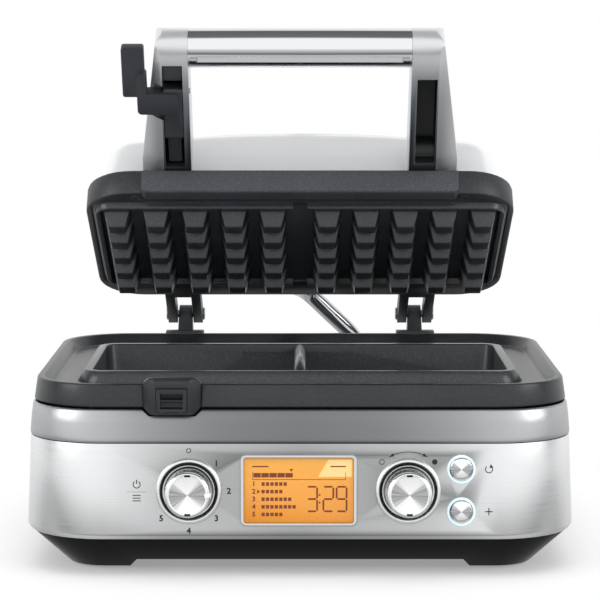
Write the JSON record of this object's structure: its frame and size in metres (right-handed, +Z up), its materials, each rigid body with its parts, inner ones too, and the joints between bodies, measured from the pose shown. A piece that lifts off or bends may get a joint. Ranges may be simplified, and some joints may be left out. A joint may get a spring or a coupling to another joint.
{
  "type": "waffle maker",
  "caption": "Countertop waffle maker for square waffles: hinged lid with arms and tube handle, deep wells, front panel with knobs, display and buttons.",
  "frame": {"origin": "on the worktop, under the middle of the object's box", "axes": "+Z up, front with the controls towards -Y, +X to the right seen from the front"},
  "size_m": [0.305, 0.2782, 0.2977],
  "materials": {
    "pan_plastic": "moulded, fine grain, satin",
    "rubber_pad": "matt",
    "satin_steel": "brushed, satin",
    "nonstick_coat": "speckled non-stick coating on cast aluminium",
    "frame_coat": "fine textured dark grey coating",
    "cast_arm": "satin die-cast",
    "bright_steel": "polished",
    "spun_metal": "spun, radial sheen",
    "display_glass": "clear window over a lit amber display",
    "display_case": "moulded",
    "circuit_board": "printed board",
    "heater_sheath": "ribbed steel",
    "plated_steel": "zinc plated",
    "light_ring": "translucent, lit",
    "pointer_paint": "white inlay"
  },
  "bodies": {
    "base": {"base_pan": "pan_plastic", "foot_pads": "rubber_pad", "lower_band": "satin_steel", "upper_band": "satin_steel", "top_tray": "nonstick_coat", "lower_plate": "nonstick_coat", "lower_studs": "nonstick_coat", "lower_heater": "heater_sheath", "lower_thermostat": "plated_steel", "heat_shield": "plated_steel", "power_board": "circuit_board", "case_screws": "plated_steel", "catch_housing": "pan_plastic", "catch_insert": "pan_plastic", "display_bezel": "bright_steel", "display_window": "display_glass", "display_module": "display_case", "control_board": "circuit_board", "button_board": "circuit_board", "mode_ring": "satin_steel", "browning_ring": "satin_steel", "mode_switch": "display_case", "browning_encoder": "display_case", "panel_nuts": "plated_steel", "restart_light_ring": "light_ring", "more_light_ring": "light_ring", "button_switches": "display_case", "left_hinge_bracket": "frame_coat", "right_hinge_bracket": "frame_coat", "cord_gland": "rubber_pad", "conduit_base_fitting": "pan_plastic", "flex_conduit": "heater_sheath"},
    "lid": {"lid_frame": "frame_coat", "lid_cover": "satin_steel", "upper_plate": "nonstick_coat", "upper_studs": "nonstick_coat", "upper_heater": "heater_sheath", "upper_thermostat": "plated_steel", "lid_screws": "plated_steel", "fascia_bar": "frame_coat", "left_arm": "cast_arm", "right_arm": "cast_arm", "handle_tube": "bright_steel", "handle_clips": "bright_steel", "latch_stop": "pan_plastic", "latch_pin": "plated_steel", "left_hinge_ears": "frame_coat", "right_hinge_ears": "frame_coat", "hinge_pins": "bright_steel", "conduit_lid_fitting": "pan_plastic"},
    "latch": {"latch_lever": "pan_plastic"},
    "mode_knob": {"mode_shaft": "plated_steel", "mode_knob_body": "bright_steel", "mode_knob_cap": "spun_metal", "mode_pointer": "pointer_paint"},
    "browning_knob": {"browning_shaft": "plated_steel", "browning_knob_body": "bright_steel", "browning_knob_cap": "spun_metal"},
    "restart_button": {"restart_button": "spun_metal"},
    "more_button": {"more_button": "spun_metal"}
  },
  "joints": [
    {"name": "lid_hinge", "type": "hinge", "parent": "base", "child": "lid", "pos_m": [0, 0.132, 0.115], "axis": [-1, 0, 0], "range_deg": [-29, 75], "deforming": ["flex_conduit"]},
    {"name": "latch_pivot", "type": "hinge", "parent": "lid", "child": "latch", "pos_m": [-0.07, -0.07511, 0.26311], "axis": [-1, 0, 0], "range_deg": [0, 70]},
    {"name": "mode_turn", "type": "hinge", "parent": "base", "child": "mode_knob", "pos_m": [-0.0604, -0.12011, 0.0476], "axis": [0, -0.9983, 0.0586], "range_deg": [-135, 90]},
    {"name": "browning_turn", "type": "hinge", "parent": "base", "child": "browning_knob", "pos_m": [0.0588, -0.12011, 0.0476], "axis": [0, -0.9983, 0.0586], "continuous": true},
    {"name": "restart_press", "type": "slide", "parent": "base", "child": "restart_button", "axis": [0, 0.9983, -0.0586], "range_m": [0, 0.0012], "stiffness_N_per_m": 600},
    {"name": "more_press", "type": "slide", "parent": "base", "child": "more_button", "axis": [0, 0.9983, -0.0586], "range_m": [0, 0.0012], "stiffness_N_per_m": 600}
  ]
}
